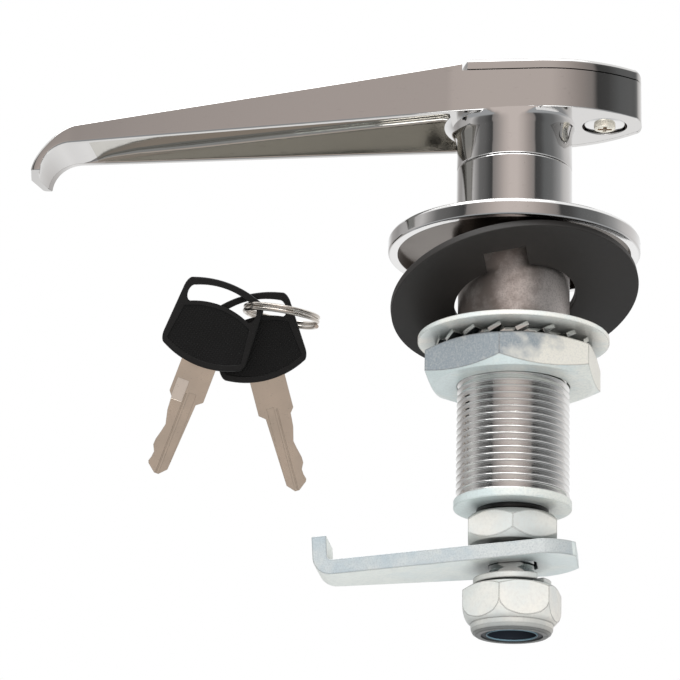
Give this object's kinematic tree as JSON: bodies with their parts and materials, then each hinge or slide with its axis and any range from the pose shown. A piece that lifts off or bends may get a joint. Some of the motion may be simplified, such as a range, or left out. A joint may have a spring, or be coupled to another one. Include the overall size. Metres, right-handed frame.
{
  "type": "handle lock",
  "caption": "Lever handle with a key cylinder under a swinging cover, a threaded barrel with washers and nuts, a spindle-driven hooked cam, and keys on a split ring.",
  "frame": {"origin": "on the lock's axis, at the flange's mounting face", "axes": "+Z along the lock's axis, from the panel out to the handle; the handle's lever and the cam point along -X"},
  "size_m": [0.1224, 0.0535, 0.1144],
  "materials": {
    "housing_chrome": "mirror",
    "gasket_rubber": "satin",
    "zinc_plate": "satin",
    "nickel_wire": "satin",
    "handle_chrome": "satin",
    "cylinder_chrome": "satin",
    "plain_steel": "satin",
    "nylon": "matte",
    "screw_steel": "satin",
    "key_plastic": "matte",
    "key_nickel": "satin",
    "wafer_brass": "satin"
  },
  "bodies": {
    "housing": {"housing": "housing_chrome", "gasket": "gasket_rubber", "flat_washer": "zinc_plate", "star_washer": "zinc_plate", "mounting_nut": "zinc_plate", "split_ring": "nickel_wire"},
    "handle": {"handle": "handle_chrome", "sleeve_pin": "zinc_plate", "cylinder_sleeve": "cylinder_chrome", "spindle": "zinc_plate", "drive_pin": "plain_steel", "stop_washer": "zinc_plate", "retaining_ring": "plain_steel", "jam_nut": "zinc_plate", "cam": "zinc_plate", "spring_washer": "zinc_plate", "lock_nut": "zinc_plate", "nylon_insert": "nylon"},
    "dust_cover": {"dust_cover": "handle_chrome", "cover_screw": "screw_steel", "cover_washer": "cylinder_chrome"},
    "lock_plug": {"lock_plug": "cylinder_chrome", "tail_crank": "plain_steel"},
    "lock_bolt": {"lock_bolt": "plain_steel"},
    "key_1": {"key_1_head": "key_plastic", "key_1_blade": "key_nickel"},
    "key_2": {"key_2_head": "key_plastic", "key_2_blade": "key_nickel"},
    "wafer_1": {"wafer_1": "wafer_brass"},
    "wafer_2": {"wafer_2": "wafer_brass"},
    "wafer_3": {"wafer_3": "wafer_brass"},
    "wafer_4": {"wafer_4": "wafer_brass"},
    "wafer_5": {"wafer_5": "wafer_brass"}
  },
  "joints": [
    {"name": "handle_turn", "type": "hinge", "parent": "housing", "child": "handle", "pos_m": [0, 0, 0], "axis": [0, 0, 1], "range_deg": [0, 90]},
    {"name": "cover_swing", "type": "hinge", "parent": "handle", "child": "dust_cover", "pos_m": [0.018, 0, 0.0352], "axis": [0, 0, 1], "range_deg": [-115, 115]},
    {"name": "key_turn", "type": "hinge", "parent": "handle", "child": "lock_plug", "pos_m": [0, 0, 0.0155], "axis": [0, 0, 1], "range_deg": [0, 90]},
    {"name": "bolt_slide", "type": "slide", "parent": "handle", "child": "lock_bolt", "axis": [1, 0, 0], "range_m": [0, 0.002]},
    {"name": "wafer_1_slide", "type": "slide", "parent": "lock_plug", "child": "wafer_1", "axis": [0, 1, 0], "range_m": [0, 0.0006], "stiffness_N_per_m": 20},
    {"name": "wafer_2_slide", "type": "slide", "parent": "lock_plug", "child": "wafer_2", "axis": [0, -1, 0], "range_m": [0, 0.0006], "stiffness_N_per_m": 20},
    {"name": "wafer_3_slide", "type": "slide", "parent": "lock_plug", "child": "wafer_3", "axis": [0, 1, 0], "range_m": [0, 0.0006], "stiffness_N_per_m": 20},
    {"name": "wafer_4_slide", "type": "slide", "parent": "lock_plug", "child": "wafer_4", "axis": [0, -1, 0], "range_m": [0, 0.0006], "stiffness_N_per_m": 20},
    {"name": "wafer_5_slide", "type": "slide", "parent": "lock_plug", "child": "wafer_5", "axis": [0, 1, 0], "range_m": [0, 0.0006], "stiffness_N_per_m": 20},
    {"name": "key_1_swing", "type": "hinge", "parent": "housing", "child": "key_1", "pos_m": [-0.0556, 0.013, -0.0055], "axis": [0.1529, -0.944, -0.2924], "range_deg": [-25, 40]},
    {"name": "key_2_swing", "type": "hinge", "parent": "housing", "child": "key_2", "pos_m": [-0.0556, 0.013, -0.0055], "axis": [0.1529, -0.944, -0.2924], "range_deg": [-40, 10]}
  ],
  "couplings": [
    {"joint": "bolt_slide", "follows": "key_turn", "m_per_rad": 0.0012732}
  ]
}
